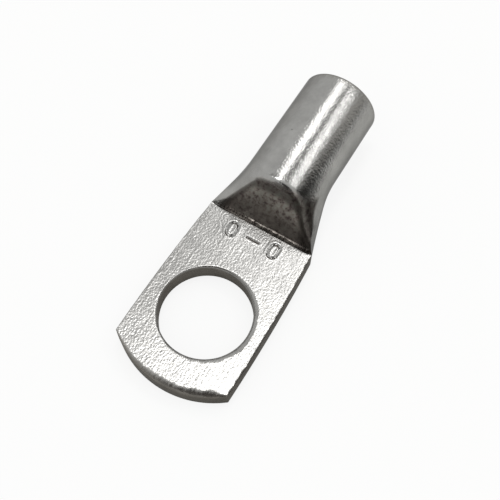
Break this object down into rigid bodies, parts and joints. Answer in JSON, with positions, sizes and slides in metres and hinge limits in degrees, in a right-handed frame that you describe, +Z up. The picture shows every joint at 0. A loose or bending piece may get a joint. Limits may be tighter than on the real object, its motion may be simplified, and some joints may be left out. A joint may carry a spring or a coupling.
{
  "type": "tubular cable lug",
  "caption": "Tin-plated copper tube lug: a round barrel for a stranded conductor, pressed flat into a palm with a stud hole.",
  "frame": {"origin": "centre of the stud hole on the palm's contact face, which is in one plane with the underside of the barrel", "axes": "+Z up out of the palm along the stud hole, +X from the stud hole towards the mouth of the barrel"},
  "size_m": [0.0232, 0.0084, 0.0055],
  "materials": {
    "tinned_copper": "bright electroplated tin on copper, satin orange-peel grain on the pressed palm, polished streaks along the barrel, darker burnished shoulder"
  },
  "bodies": {
    "root": {"cable_lug": "tinned_copper"}
  },
  "joints": []
}
